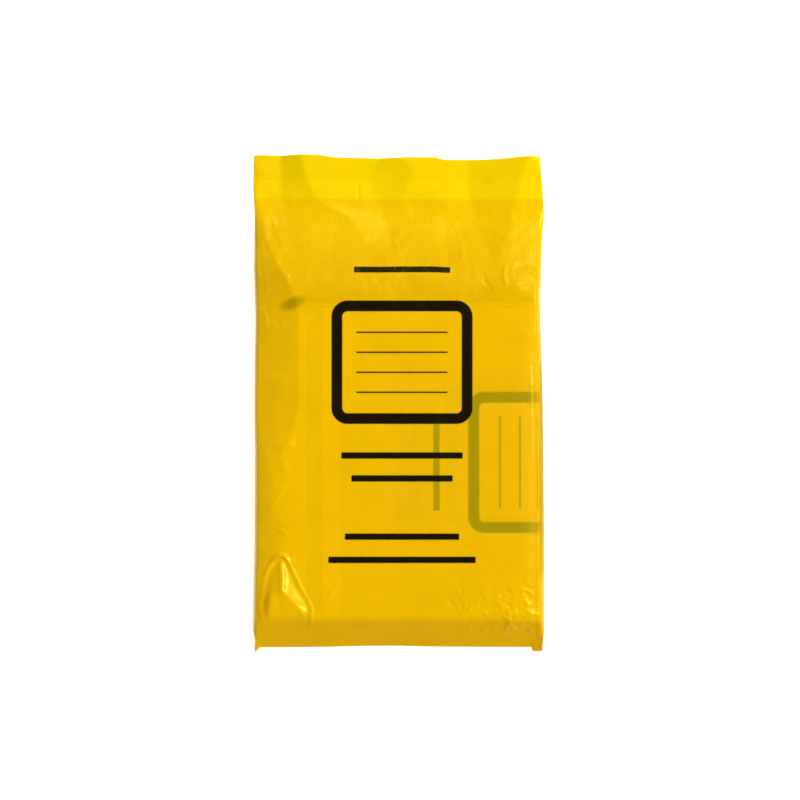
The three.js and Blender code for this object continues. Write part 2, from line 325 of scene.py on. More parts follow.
def front_height(x, y):
    """Height of the bag's front, without its creases.

    Over the stack it is level, falling to the left. Past the stack's front edge it falls to the seal, and
    past its back edge it falls as a cosine to the mouth's folds.
    """
    level = STACK_TOP + 0.35 - right_lean(x)
    tail_slope = SEAL_Z + TAIL_STEEPNESS * (y - SEAL_Y)
    mouth = FLAT_GAP + FILM_LIFT
    ramp = mix(mouth, level, ramp_fill(y)) - left_drop(x, y) * share(RAMP_END - y, -6, 10)
    ramp = ramp + fold_height(x, y)
    tail = soft_min(ramp, tail_slope, TAIL_ROUND)
    return np.where(y < (STACK_FRONT + STACK_BACK) / 2, tail, ramp)


def back_height(x, y):
    """Height of the bag's back: on the floor under the stack, up to the seal and to the mouth's folds."""
    lift = np.where(y < STACK_FRONT, SEAL_Z * (1 - share(y, SEAL_Y, STACK_FRONT)) ** 2, 0)
    return FILM_LIFT + lift + fold_height(x, y) * (1 - ramp_fill(y)) ** 2


def rounding(x, y):
    """Quarter ellipse in from each side: 0 at the side's crease, 1 where the round part ends."""
    inward = HALF_WIDTH - np.abs(x)
    reach = np.where(x < 0, LEFT_ROUND, RIGHT_ROUND)
    return np.sqrt(1 - (1 - share(inward, 0, reach)) ** 2)


# Creases and crumples of the front film

# Each crease is a path in photograph pixels, with its height and half width in millimetres. A height
# below zero is a furrow.
CREASES = [
    {"path": [(359, 178), (358, 189), (358.5, 201)], "height": -0.5, "width": 0.6},
    {"path": [(464, 296), (472, 299), (479, 292.5), (491, 289.5), (484.5, 281), (482.5, 269)],
     "height": -0.55, "width": 0.9},
    {"path": [(276, 452.5), (284, 447), (297, 442)], "height": 0.9, "width": 1.6},
    {"path": [(277, 529), (288, 533.5)], "height": 0.6, "width": 0.9},
    {"path": [(264, 519), (280, 492), (294, 469)], "height": 0.3, "width": 1.2},
    {"path": [(327.5, 598), (334, 589), (341, 580)], "height": 0.5, "width": 1.6},
    {"path": [(319, 466), (322.5, 455)], "height": 0.35, "width": 0.7},
    {"path": [(323.5, 466), (327, 457)], "height": 0.35, "width": 0.7},
    {"path": [(461, 236), (463, 262)], "height": 0.45, "width": 0.9},
    {"path": [(390, 232), (396, 242), (399, 254)], "height": 0.4, "width": 1.1},
    {"path": [(401, 240), (406, 252)], "height": 0.35, "width": 0.9},
    {"path": [(259, 308), (265, 318), (266, 332)], "height": 0.5, "width": 0.9},
    {"path": [(262, 270), (267, 283), (265, 296)], "height": 0.5, "width": 0.9},
    {"path": [(258, 236), (263, 252), (268, 262)], "height": 0.4, "width": 0.9},
    {"path": [(506, 262), (504, 276), (508, 288)], "height": 0.5, "width": 1.1},
    {"path": [(519, 258), (512, 268), (514, 281)], "height": 0.3, "width": 1.0},
    {"path": [(531.2, 341), (531.0, 385), (531.4, 460), (531.6, 486)], "height": 0.5, "width": 0.75},
    {"path": [(461, 613), (466, 611.5), (472, 607)], "height": 0.5, "width": 0.8},
    {"path": [(481, 610), (484, 612), (488, 617)], "height": 0.5, "width": 0.8},
    {"path": [(468, 632), (469.5, 628), (469, 624)], "height": 0.5, "width": 0.8},
    {"path": [(508, 608), (508.5, 618), (511, 629)], "height": 0.7, "width": 1.0},
    {"path": [(511, 624), (513, 628), (511, 632)], "height": 0.7, "width": 1.0},
    {"path": [(505, 638), (506.5, 631), (506, 624)], "height": 0.5, "width": 0.8},
    {"path": [(519, 592), (524, 589.5), (531, 591)], "height": 0.5, "width": 0.9},
    {"path": [(517, 602), (524, 600.5), (529, 602.5)], "height": 0.6, "width": 1.0},
    {"path": [(272, 634), (260, 643), (256, 649.4)], "height": 0.8, "width": 0.8},
    {"path": [(269, 565), (274, 558), (280, 555), (286, 556.5), (291, 564)], "height": 0.8, "width": 1.3},
]


def creases(x, y):
    """Sum of the creases: a bell across each path, tapering to nothing at its two ends."""
    total = np.zeros(np.shape(x))
    for crease in CREASES:
        distance, way = to_path(x, y, [from_photo(*spot) for spot in crease["path"]])
        taper = ease(share(way, 0, 0.3)) * ease(share(1 - way, 0, 0.3))
        total += crease["height"] * bell(distance, crease["width"]) * taper
    return total


# The loose pocket at the lower left: its outline on the film, the crest of the dome inside it and the
# narrow ridge that runs up from the crest to the pocket's top
POCKET_OUTLINE = [
    (264.7, 627), (260.8, 614), (259.7, 605), (261, 593), (263.5, 580.5), (266.3, 570.5), (272, 559.5),
    (279, 554.5), (285, 555), (291, 566), (296, 576), (301.5, 588), (307, 597), (312, 606), (312, 616),
    (310.8, 625), (308.6, 633), (288, 640),
]
POCKET_CREST = [(268, 612), (270.5, 598), (275, 589.5), (281, 590.5), (288, 595), (297, 605), (303.5, 612)]
POCKET_NECK = [(282, 556), (281.5, 566), (283, 576), (282, 589)]
POCKET_HEIGHT = 2.5
POCKET_DEPTH = 1.3
DOME_RUN = 17.0  # how far from its crest the dome takes to fall


def pocket(x, y):
    """The loose pocket: its floor is sunk, and rises evenly from the outline to the dome's crest.

    Past the crest the dome falls evenly towards the seal. A narrow ridge joins the crest to the top, and a
    fine raised line runs round the outline.
    """
    outline = cut_corners(POCKET_OUTLINE, closed=True)
    crest = cut_corners(POCKET_CREST)
    to_outline, way_round = to_path(x, y, np.concatenate([outline, outline[:1]]))
    to_crest, way_across = to_path(x, y, crest)
    to_neck, way = to_path(x, y, cut_corners(POCKET_NECK))
    foot_of_dome = [from_photo(*spot) for spot in ((312, 650), (288, 652), (258, 650))]
    past_crest = inside(x, y, np.concatenate([crest, foot_of_dome]))
    climb = to_outline / (to_outline + to_crest + 1e-6)
    dome = (1 - share(to_crest, 0, DOME_RUN)) * ease(share(to_outline, 0, 5))
    tent = (POCKET_HEIGHT + POCKET_DEPTH) * np.where(past_crest, dome, climb)
    sunk = POCKET_DEPTH * ease(share(to_outline, 0, 3.5)) * np.where(past_crest, dome, 1)
    neck = 1.2 * bell(to_neck, 2.2) * ease(share(way, 0, 0.25)) * ~past_crest
    comb = 0.26 * np.sin(math.tau * (x * 0.8 + y * 0.6) / 2.0)
    comb = comb * bell(to_crest, 1.7) * share(way_across, 0.3, 0.5)
    rim = 0.7 * bell(to_outline, 0.85) * (1 - 0.9 * share(np.abs(way_round - 0.93), 0.12, 0.04))
    loose = inside(x, y, outline)
    inner_foot = ease(share(y, SEAL_Y + 9, SEAL_Y + 24))
    rim_foot = ease(share(y, SEAL_Y + 1, SEAL_Y + 12))
    return np.where(loose, tent + neck + comb - sunk, 0) * inner_foot + rim * rim_foot


# Short creases strewn over stretches of the film, each stretch in photograph pixels. Every crease draws its
# length, height and half width in millimetres, and its turn in radians, from between the two given.
STREWN = [
    {"seed": 31, "count": 150, "stretch": (262, 204, 530, 298), "length": (4, 14), "height": (0.03, 0.10),
     "width": (0.5, 0.9), "turn": (-1.3, -0.3)},
    {"seed": 32, "count": 40, "stretch": (500, 588, 532, 638), "length": (3, 9), "height": (0.3, 0.7),
     "width": (0.7, 1.0), "turn": (-1.2, 0.6)},
    {"seed": 33, "count": 30, "stretch": (520, 584, 533, 640), "length": (4, 8), "height": (0.3, 0.6),
     "width": (0.6, 0.8), "turn": (-0.3, 0.35)},
    {"seed": 35, "count": 24, "stretch": (517, 515, 536, 590), "length": (3, 7), "height": (0.08, 0.3),
     "width": (0.5, 0.7), "turn": (-0.25, 0.25)},
    {"seed": 36, "count": 46, "stretch": (445, 590, 515, 640), "length": (3, 10), "height": (0.15, 0.5),
     "width": (0.7, 1.0), "turn": (0.2, 2.2)},
    {"seed": 34, "count": 26, "stretch": (255, 205, 290, 330), "length": (5, 16), "height": (0.1, 0.3),
     "width": (0.6, 1.0), "turn": (-1.5, -0.8)},
]


def strewn_creases(x, y, seed, count, stretch, length, height, width, turn):
    """Short seeded creases, up or down: bells across slightly bent paths."""
    draw = np.random.default_rng(seed)
    total = np.zeros(np.shape(x))
    reach = 3 * width[1]
    for _ in range(count):
        px, py = draw.uniform(stretch[0], stretch[2]), draw.uniform(stretch[1], stretch[3])
        long, turned = draw.uniform(*length), draw.uniform(*turn)
        bend = draw.uniform(-0.25, 0.25) * long
        size = draw.uniform(*height) * draw.choice((-1, 1))
        half_width = draw.uniform(*width)
        cx, cy = from_photo(px, py)
        near = np.hypot(x - cx, y - cy) < long / 2 + reach
        u = (x[near] - cx) * math.cos(turned) + (y[near] - cy) * math.sin(turned)
        v = (y[near] - cy) * math.cos(turned) - (x[near] - cx) * math.sin(turned)
        v = v - bend * (2 * u / long) ** 2
        total[near] += size * bell(v, half_width) * bell(u, 0.42 * long)
    return total


def unevenness(x, y):
    """Slow waves all over, and facets on the ramp, on the left slope and along the right edge."""
    ramp_zone = ease(share(y, STACK_BACK - 6, STACK_BACK + 12)) * ease(share(MOUTH_Y - 30 - y, -8, 14))
    left_zone = ease(share(-x, 1 - OTHER_MOUTH_X, 84)) * ease(share(y, SEAL_Y + 6, SEAL_Y + 30))
    right_zone = bell(x - 90, 6) * ease(share(y, SEAL_Y + 4, SEAL_Y + 20))
    total = 0.16 * waves(x, y, 11, 34) + 0.05 * waves(x, y, 12, 12)
    total += ramp_zone * (0.07 * facets(x, y, 21, 13) + 0.03 * facets(x, y, 22, 6))
    total += left_zone * (0.15 * facets(x, y, 23, 17) + 0.05 * facets(x, y, 24, 7))
    return total + right_zone * 0.08 * facets(x, y * 2.2, 25, 9)


def strip_step(x, y):
    """The slight step in the film over the closing strip."""
    above = MOUTH_Y - STRIP_FROM_MOUTH + across(MOUTH_EDGE, x) - y
    return 0.12 * ease(share(STRIP_WIDTH - above, -0.5, 0.5)) * ease(share(above, -0.5, 0.5))


def relief(x, y):
    """Everything that stands on the film's main form, fading to nothing at the seal."""
    total = creases(x, y) + pocket(x, y) + unevenness(x, y) + strip_step(x, y)
    for row in STREWN:
        total += strewn_creases(x, y, **row)
    return total * ease(share(y, SEAL_Y, SEAL_Y + 5))


# Meshes

SPACING = 1.0  # between the points of the film's front
MARGIN_ROWS = 6
BACK_SHIFT = 1000.0  # how far aside the back lies in the plan of the flat bag, clear of the print


def grid_faces(rows, columns):
    """Faces of a grid of points, row by row, facing up when the rows run along y and the columns along x."""
    start = np.arange(rows - 1)[:, None] * columns + np.arange(columns - 1)[None, :]
    return np.stack([start, start + 1, start + columns + 1, start + columns], axis=-1).reshape(-1, 4)


def make_piece(name, points, faces, material, plan=None):
    """A mesh object from points in millimetres. plan gives each point's place on the flat bag."""
    mesh = bpy.data.meshes.new(name)
    mesh.from_pydata((np.reshape(points, (-1, 3)) * MM).tolist(), [], [list(face) for face in faces])
    if plan is not None:
        corner_points = np.empty(len(mesh.loops), int)
        mesh.loops.foreach_get("vertex_index", corner_points)
        layer = mesh.uv_layers.new(name="flat_bag")
        layer.data.foreach_set("uv", (np.reshape(plan, (-1, 2))[corner_points] * MM).ravel())
    mesh.polygons.foreach_set("use_smooth", np.ones(len(mesh.polygons), bool))
    mesh.materials.append(material)
    piece = bpy.data.objects.new(name, mesh)
    bpy.context.scene.collection.objects.link(piece)
    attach(piece, "root")
    return piece


def column_places(spacing):
    """Places across the bag from -1 to 1, closer together where its sides are rounded."""
    left = -HALF_WIDTH + LEFT_ROUND * (1 - np.cos(np.linspace(0, math.pi / 2, 9)))
    right = HALF_WIDTH - RIGHT_ROUND * (1 - np.cos(np.linspace(math.pi / 2, 0, 19)))
    middle = np.arange(left[-1] + spacing, right[0] - spacing / 2, spacing)
    places = np.concatenate([left, middle, right]) / HALF_WIDTH
    return places if len(places) % 2 else np.delete(places, len(left) + 3)


def film_grid():
    """Places across the bag from -1 to 1, and along it in rows from the margin's edge to the mouth."""
    body_rows = len(np.arange(SEAL_Y, MOUTH_Y, SPACING)) | 1
    margin = np.linspace(SEAL_Y - FIN, SEAL_Y, MARGIN_ROWS + 1)[:-1]
    body = np.linspace(SEAL_Y, MOUTH_Y, body_rows)
    return np.meshgrid(column_places(SPACING), np.concatenate([margin, body]))


def ears(x, y):
    """1 at the margin's two outer corners, which stand out as ears, and 0 elsewhere."""
    left = share(x, -HALF_WIDTH + 3.8, -HALF_WIDTH + 1.2)
    right = ease(share(x, HALF_WIDTH - 7.8, HALF_WIDTH - 6.8))
    return np.maximum(left, right) * share(SEAL_Y - y, 0, FIN)


def film_front(x, y, crease, round_share):
    """Height of the whole front: the rounded body with its relief, and the margin hanging from the seal."""
    front = front_height(x, y) + relief(x, y) * share(round_share, 0, 0.6)
    body = mix(crease, np.maximum(front, crease + 0.02), round_share)
    outside = share(SEAL_Y - y, 0, FIN)
    margin = mix(SEAL_Z, FIN_EDGE_Z, outside) + 0.25 * waves(x, y * 0.3, 41, 60) * outside
    z = np.where(y < SEAL_Y + 0.01, margin, body)
    return np.maximum(z - ears(x, y) * EAR_SAG, FILM_LIFT)


def film_outline(place, y):
    """x and y with the sides' bulges, the mouth's and the bottom's uneven edges, and the ears."""
    x = place * HALF_WIDTH
    dip = across(MOUTH_EDGE, x) * (1 - ramp_fill(y)) * (y > 0)
    bottom = across(BOTTOM_EDGE, x) * share(SEAL_Y + 8 - y, 0, 8)
    return x + side_bulge(place, y), y + dip - ears(x, y) * EAR_DROP - bottom


def outer_bag(material):
    """The film tube: a fine front, a back of every second point, and one fused margin past the seal.

    The back shares the front's outline, but its first row lies on the seal's row with points of its own, so
    that the seal is shaded flat.
    """
    place, y = film_grid()
    x = place * HALF_WIDTH
    round_share = rounding(x, y)
    crease = crease_height(x, y)
    z = film_front(x, y, crease, round_share)
    shown_x, shown_y = film_outline(place, y)

    half = (slice(MARGIN_ROWS, None, 2), slice(None, None, 2))
    back = mix(crease[half], back_height(x[half], y[half]), round_share[half])
    back[0] = z[MARGIN_ROWS, ::2]
    front_points = np.stack([shown_x, shown_y, z], axis=-1).reshape(-1, 3)
    back_points = np.stack([shown_x[half], shown_y[half], back], axis=-1).reshape(-1, 3)
    front_plan = np.stack([x, MOUTH_Y - y], axis=-1).reshape(-1, 2)
    back_plan = np.stack([x[half] + BACK_SHIFT, MOUTH_Y - y[half]], axis=-1).reshape(-1, 2)

    front_numbers = np.arange(x.size).reshape(x.shape)
    back_numbers = x.size + np.arange(back.size).reshape(back.shape)
    back_numbers[:, 0] = front_numbers[half[0], 0]
    back_numbers[:, -1] = front_numbers[half[0], -1]
    faces = grid_faces(*x.shape).tolist() + back_faces(back_numbers, front_numbers[MARGIN_ROWS:])
    points = np.concatenate([front_points, back_points])
    plan = np.concatenate([front_plan, back_plan])
    used = np.unique(np.concatenate(faces))
    renumber = np.zeros(len(points), int)
    renumber[used] = np.arange(len(used))
    faces = [renumber[face].tolist() for face in faces]
    return make_piece("outer_bag_film", points[used], faces, material, plan[used])


def back_faces(numbers, front_numbers):
    """Faces of the back, facing down. Those on its outline take in the front's points between their own."""
    corners = (numbers[:-1, :-1], numbers[1:, :-1], numbers[1:, 1:], numbers[:-1, 1:])
    rows = np.stack(corners, axis=-1).tolist()
    for row, between in zip(rows, front_numbers[1::2].tolist()):
        row[0].insert(1, between[0])
        row[-1].insert(3, between[-1])
    return [face for row in rows for face in row]


def adhesive_strip(material):
    """The closing strip: a ribbon midway between the films and wavy with them."""
    places = np.linspace(STRIP_SHORT[0] - HALF_WIDTH, HALF_WIDTH - STRIP_SHORT[1], 220)
    x, t = np.meshgrid(places, np.linspace(0, 1, 9))
    y = MOUTH_Y - STRIP_FROM_MOUTH - STRIP_WIDTH * (1 - t)
    z = fold_height(x, y) + FILM_LIFT + FLAT_GAP / 2
    points = np.stack([x + side_bulge(x / HALF_WIDTH, y), y + across(MOUTH_EDGE, x), z], axis=-1)
    return make_piece("adhesive_strip_tape", points, grid_faces(*x.shape), material)


def folded_profile(outside, upper_end, lower_end, steps=24):
    """Half-turn profile round the fold: x, z and the distance from the upper mouth along the film."""
    upper = np.linspace(upper_end, FOLD_X - HALF_STACK, 100)
    turn = np.linspace(0, math.pi, steps)[1:]
    lower = np.linspace(FOLD_X - HALF_STACK, lower_end, 60)[1:]
    x = np.concatenate([upper, FOLD_X - HALF_STACK + outside * np.sin(turn), lower])
    z = np.concatenate([np.full(len(upper), outside), outside * np.cos(turn), np.full(len(lower), -outside)])
    walked = np.concatenate([[0], np.cumsum(np.hypot(np.diff(x), np.diff(z)))])
    return x, z + STACK_MIDDLE, walked


def folded_bag(name, outside, upper_end, lower_end, start, material, seed):
    """One folded bag: its profile carried along the pack, drooping at the stack's open sides."""
    profile_x, profile_z, walked = folded_profile(outside, upper_end, lower_end)
    y = np.linspace(start, start + STACK_BACK - STACK_FRONT, 110)
    x, yy = np.meshgrid(profile_x, y)
    level, plan_v = np.meshgrid(profile_z, y)[0], np.meshgrid(walked, y)[0]
    z = stack_level(x, np.clip(yy, STACK_FRONT, STACK_BACK), level)
    z = z + 0.10 * waves(x, yy, seed, 30) * (x < FOLD_X - HALF_STACK) - 0.1
    wavy_end = 0.35 * waves(yy, yy * 0, seed + 1, 60) * share(FOLD_X - x, 100, 160)
    plan_u = yy - (start + (STACK_BACK - STACK_FRONT) / 2)
    points = np.stack([x + wavy_end, yy, z], axis=-1)
    plan = np.stack([plan_u, plan_v], axis=-1)
    return make_piece(name, points, grid_faces(*x.shape), material, plan)


LEAF_COUNT = 46
LEAF_SHARE = 0.7  # a leaf's thickness as a share of the leaves' pitch
LEAF_STATIONS = (0, 0.012, 0.03, 0.06, 0.5, 0.94, 0.97, 0.988, 1)  # along the leaf, closer at its ends
TOP_BAGS_HEIGHT = 2.4  # what the two bags on top take up
INNER_RADIUS = 0.25


def leaf_outline(radius, thickness, ends):
    """One leaf's edge: out along its outer film, round the fold, and back along its inner film."""
    upper_end, lower_end = OTHER_MOUTH_X + ends[0], LOWER_MOUTH_X + 1.5 + ends[1]
    outer = folded_profile(radius, upper_end, lower_end, 16)
    inner = folded_profile(radius - thickness, upper_end, lower_end, 16)
    pick = np.r_[0, 40, 80, 95:118, 140, 173]  # all points round the fold, and few on the straight
    return [np.concatenate([far[pick], near[pick][::-1]]) for far, near in zip(outer[:2], inner[:2])]


def leaf_faces(count, rows):
    """Faces of one leaf: quads from station to station, and a strip of quads over each end."""
    ring = np.arange(count)
    following = np.roll(ring, -1)
    quads = np.stack([ring, following, following + count, ring + count], axis=-1)
    tube = (quads + count * np.arange(rows - 1)[:, None, None]).reshape(-1, 4)
    near = np.arange(count // 2 - 1)
    cap = np.stack([near, count - 1 - near, count - 2 - near, near + 1], axis=-1)
    return np.concatenate([tube, cap, cap[:, ::-1] + (rows - 1) * count])


def stack_leaves(material):
    """The other bags: thin leaves nested round one fold, each cut off a little differently."""
    draw = np.random.default_rng(51)
    outermost = HALF_STACK - TOP_BAGS_HEIGHT
    pitch = (outermost - INNER_RADIUS) / LEAF_COUNT
    points, faces = [], []
    for leaf in range(LEAF_COUNT):
        ends = draw.normal(0, 0.5, 2) + (leaf % 5 == 0) * np.array([-0.9, -1.2])
        shift = draw.normal(0, 0.45)
        loop_x, loop_z = leaf_outline(outermost - leaf * pitch, LEAF_SHARE * pitch, ends)
        stations = STACK_FRONT + shift + np.array(LEAF_STATIONS) * (STACK_BACK - STACK_FRONT)
        x, y = np.meshgrid(loop_x, stations)
        level = np.meshgrid(loop_z, stations)[0]
        pull = 1 - droop(np.clip(y, STACK_FRONT, STACK_BACK)) / HALF_STACK
        z = STACK_MIDDLE + (level - STACK_MIDDLE) * pull
        points.append(np.stack([x, y, z], axis=-1).reshape(-1, 3))
        faces.append(leaf_faces(len(loop_x), len(stations)) + leaf * x.size)
    return make_piece("folded_bag_leaves", np.concatenate(points), np.concatenate(faces), material)


# Materials

class Value:
    """A socket that carries a number, with plain arithmetic that adds Math nodes."""

    def __init__(self, shader, socket):
        self.shader = shader
        self.socket = socket

    def math(self, operation, *others):
        """This value and the others through one Math node."""
        return Value(self.shader, self.shader.add("ShaderNodeMath", {"operation": operation}, self, *others))

    def __add__(self, other):
        return self.math("ADD", other)

    def __sub__(self, other):
        return self.math("SUBTRACT", other)

    def __mul__(self, other):
        return self.math("MULTIPLY", other)

    def __truediv__(self, other):
        return self.math("DIVIDE", other)

    def __rsub__(self, other):
        return self * -1 + other

    __radd__ = __add__
    __rmul__ = __mul__

    def absolute(self):
        return self.math("ABSOLUTE")

    def at_least(self, other):
        return self.math("MAXIMUM", other)

    def at_most(self, other):
        return self.math("MINIMUM", other)

    def step(self, low, high):
        """0 below low, 1 above high and smooth between; low may lie above high."""
        settings = {"interpolation_type": "SMOOTHSTEP"}
        limits = (low, high, 0.0, 1.0) if low < high else (high, low, 1.0, 0.0)
        return Value(self.shader, self.shader.add("ShaderNodeMapRange", settings, self, *limits))


class Shader:
    """A material's node tree, built by adding nodes with their settings first and their inputs after."""

    def __init__(self, name):
        self.material = bpy.data.materials.new(name)
        self.material.use_nodes = True
        self.tree = self.material.node_tree
        self.surface = self.tree.nodes["Principled BSDF"]

    def add(self, kind, settings=None, *inputs, out=0, **named):
        """One output of a new node. A name's underscores stand for the spaces in its socket's name."""
        node = self.tree.nodes.new(kind)
        for key, setting in (settings or {}).items():
            setattr(node, key, setting)
        for place, given in enumerate(inputs):
            self.plug(node.inputs[place], given)
        for name, given in named.items():
            self.plug(node.inputs[name.replace("_", " ")], given)
        return node.outputs[out]

    def plug(self, socket, given):
        """Link a value or a socket, or write a constant."""
        if isinstance(given, Value):
            given = given.socket
        if isinstance(given, bpy.types.NodeSocket):
            self.tree.links.new(given, socket)
        else:
            socket.default_value = given

    def set(self, **inputs):
        """Give the surface's own sockets their values."""
        for key, given in inputs.items():
            self.plug(self.surface.inputs[key.replace("_", " ")], given)

    def parts(self, spot, count):
        """The first few parts of a place in metres, in millimetres."""
        node = self.tree.nodes.new("ShaderNodeSeparateXYZ")
        self.tree.links.new(spot, node.inputs[0])
        return [Value(self, node.outputs[i]) * (1 / MM) for i in range(count)]

    def place(self):
        """x and y of the surface, in millimetres."""
        return self.parts(self.add("ShaderNodeTexCoord", out=3), 2)

    def flat_place(self):
        """Across the flat bag from its middle, and down from its mouth, in millimetres."""
        return self.parts(self.add("ShaderNodeUVMap", {"uv_map": "flat_bag"}), 2)

    def noise(self, size, detail=2.0, roughness=0.5):
        """Noise between 0 and 1 whose lumps are about that many millimetres across."""
        spot = self.add("ShaderNodeTexCoord", out=3)
        spot = self.add("ShaderNodeMapping", None, spot, Scale=[1 / (size * MM)] * 3)
        inputs = {"Vector": spot, "Scale": 1.0, "Detail": detail, "Roughness": roughness}
        return Value(self, self.add("ShaderNodeTexNoise", **inputs))

    def blend(self, a, b, amount):
        """From number a to number b."""
        return a + amount * (b - a)

    def colour(self, red, green):
        """A colour from its red and green, with no blue."""
        return self.add("ShaderNodeCombineColor", None, red, green, 0.0)

    def mix_colour(self, a, b, amount):
        """From colour a to colour b."""
        node = self.tree.nodes.new("ShaderNodeMix")
        node.data_type = "RGBA"
        for socket, given in ((node.inputs[0], amount), (node.inputs[6], a), (node.inputs[7], b)):
            self.plug(socket, given)
        return node.outputs[2]


# The print: plain bars, and a framed blank panel with ruled lines. Each bar is the way down from the mouth
# to its centre, its width and its height.
PRINT_MIDDLE = 2.4  # how far right of the bag's middle the outer bag's print lies
BARS = [(78.0, 65.5, 4.2), (205.0, 82.6, 4.4), (220.6, 69.0, 4.4), (260.2, 77.8, 4.4), (276.0, 100.3, 4.4)]
PANEL = {"down": 141.6, "width": 96.0, "height": 84.0, "corner": 11.0, "stroke": 7.4}
RULES = {"count": 4, "spacing": 13.6, "width": 62.0, "height": 1.1}


def box_distance(a, b, half_width, half_height, corner):
    """Distance outside a rectangle with round corners: the length past its inner box, less the radius."""
    past_a = (a.absolute() - (half_width - corner)).at_least(0.0)
    past_b = (b.absolute() - (half_height - corner)).at_least(0.0)
    return (past_a * past_a + past_b * past_b).math("SQRT") - corner


def print_mask(across_bag, down, blur):
    """1 where the bag is printed: the bars, the panel's frame and its ruled lines."""
    mask = None
    for centre, width, height in BARS:
        bar = box_distance(across_bag, down - centre, width / 2, height / 2, 0.6).step(blur, -blur)
        mask = bar if mask is None else mask.at_least(bar)
    panel_down = down - PANEL["down"]
    outer = box_distance(across_bag, panel_down, PANEL["width"] / 2, PANEL["height"] / 2, PANEL["corner"])
    frame_line = (outer + PANEL["stroke"] / 2).absolute() - PANEL["stroke"] / 2
    mask = mask.at_least(frame_line.step(blur, -blur))
    for number in range(RULES["count"]):
        rule_down = panel_down - (number - (RULES["count"] - 1) / 2) * RULES["spacing"]
        rule = box_distance(across_bag, rule_down, RULES["width"] / 2, RULES["height"] / 2, 0.3)
        mask = mask.at_least(rule.step(blur, -blur))
    return mask


INK = (0.006, 0.003, 0.001, 1)

# The film's red and green: over the stack, with painted shade down the ramp and painted light at the mouth,
# paler as if lit through from the floor. It has no blue.
OVER_STACK = (0.757, 0.430)
RAMP_SHADED = (0.69, 0.39)
MOUTH_LIT = (0.88, 0.61)
# Where the strip's two edges show in the film, and the middle of the painted shade in the hollow beside the
# stack's corner
STRIP_START = MOUTH_Y - STRIP_FROM_MOUTH - 1.0
STRIP_END = STRIP_START - STRIP_WIDTH
SHADED_HOLLOW = from_photo(293, 303.5)
TAPE_WIDTH = 13.2  # of the closing tape on the top folded bag


def over_stack(x, y):
    """1 where the film lies on the stack's top."""
    along_stack = y.step(STACK_BACK + 0.4, STACK_BACK - 1.2) * y.step(STACK_FRONT + 1, STACK_FRONT + 8)
    return along_stack * x.step(OTHER_MOUTH_X - 0.5, OTHER_MOUTH_X + 2)


def thinness(x, y):
    """How much light the film lets through: most where it clings, least where it is crinkled."""
    clinging = (y.step(-100, -88) * y.step(28, 12) * x.step(-12, 4)).at_most(x.step(93, 87) * 0.6 + 0.4)
    crinkled = y.step(-112, -128) * x.step(30, 62)
    return (0.36 + 0.26 * clinging) * (1 - crinkled * 0.85)


def film_tint(shader, x, y, at_mouth):
    """Red and green with painted light and shade: painted light at the mouth, painted shade down the ramp,
    and painted light again up the ramp and towards the stack's back.
    """
    # painted light: paler up the ramp towards the mouth, and a little paler up the stack towards its back
    up_ramp_light = y.step(STACK_BACK + 6, STRIP_END + 4)
    up_stack_light = y.step(-70, 60)
    beside = x.step(OTHER_MOUTH_X - 1, OTHER_MOUTH_X + 3)
    past_stack = shader.blend(
        y.step(STACK_BACK - 20, STACK_BACK + 24), y.step(STACK_BACK - 0.6, STACK_BACK + 1.6), beside
    )
    tints = []
    for stack, ramp, mouth, gain in zip(OVER_STACK, RAMP_SHADED, MOUTH_LIT, (0.035, 0.022)):
        body = shader.blend(stack + gain * up_stack_light, ramp + 0.10 * up_ramp_light, past_stack)
        tints.append(shader.blend(body, mouth, at_mouth))
    return tints


def film_shades(shader, x, y, on_stack):
    """How much of its red and of its green the film keeps: random clouds, the strip and the tape showing
    through, a darker margin, painted highlights along the strip's upper edge and on the right, and painted
    shade on the tail, in the hollow and on the sides.
    """
    cloud = 1 - 0.05 * shader.noise(24, 2.0).step(0.45, 0.75)
    in_strip = y.step(STRIP_END - 0.4, STRIP_END + 0.4) * y.step(STRIP_START + 0.4, STRIP_START - 0.4)
    # painted highlight: a thin lighter line along the strip's upper edge
    strip_edge_highlight = (y - STRIP_START).absolute().step(1.0, 0.1)
    tape_end = TOP_MOUTH_X + TAPE_WIDTH
    tape = x.step(TOP_MOUTH_X - 0.4, TOP_MOUTH_X + 0.4) * x.step(tape_end + 0.4, tape_end - 0.4)
    # painted light: the right part of the ramp a little lighter, as if lit from the right
    right_painted_light = x.step(10, 60) * y.step(40, 66)
    shade = cloud * (1 + 0.03 * tape * on_stack + 0.03 * right_painted_light + 0.02 * in_strip + 0.03 * strip_edge_highlight)
    # painted shade: a dark patch in the hollow beside the stack's corner
    from_hollow = x - SHADED_HOLLOW[0]
    slant = y - SHADED_HOLLOW[1] - from_hollow * 0.3
    hollow_shade = (from_hollow * from_hollow / 80 + slant * slant / 20 + shader.noise(4) * 0.6).step(1.9, 0.2)
    # painted shade: darker on the tail past the stack's front edge
    tail = y.step(STACK_FRONT + 1, STACK_FRONT - 2)
    fin = y.step(SEAL_Y + 3, SEAL_Y - FIN)
    # painted shade: the left side darker, as if turned from the light
    left_painted_shade = x.step(-60, -82) * y.step(100, 112)
    # painted shade: darker past the stack's fold, where the film stands off it over a gap
    past_fold_shade = x.step(91.5, 94.5) * y.step(62, 52)
    red = 1 - 0.03 * tail - 0.02 * fin - 0.03 * left_painted_shade - 0.44 * hollow_shade - 0.08 * past_fold_shade
    green = 1 - 0.075 * tail - 0.03 * fin - 0.06 * left_painted_shade - 0.36 * hollow_shade - 0.12 * past_fold_shade
    return red * shade, green * shade


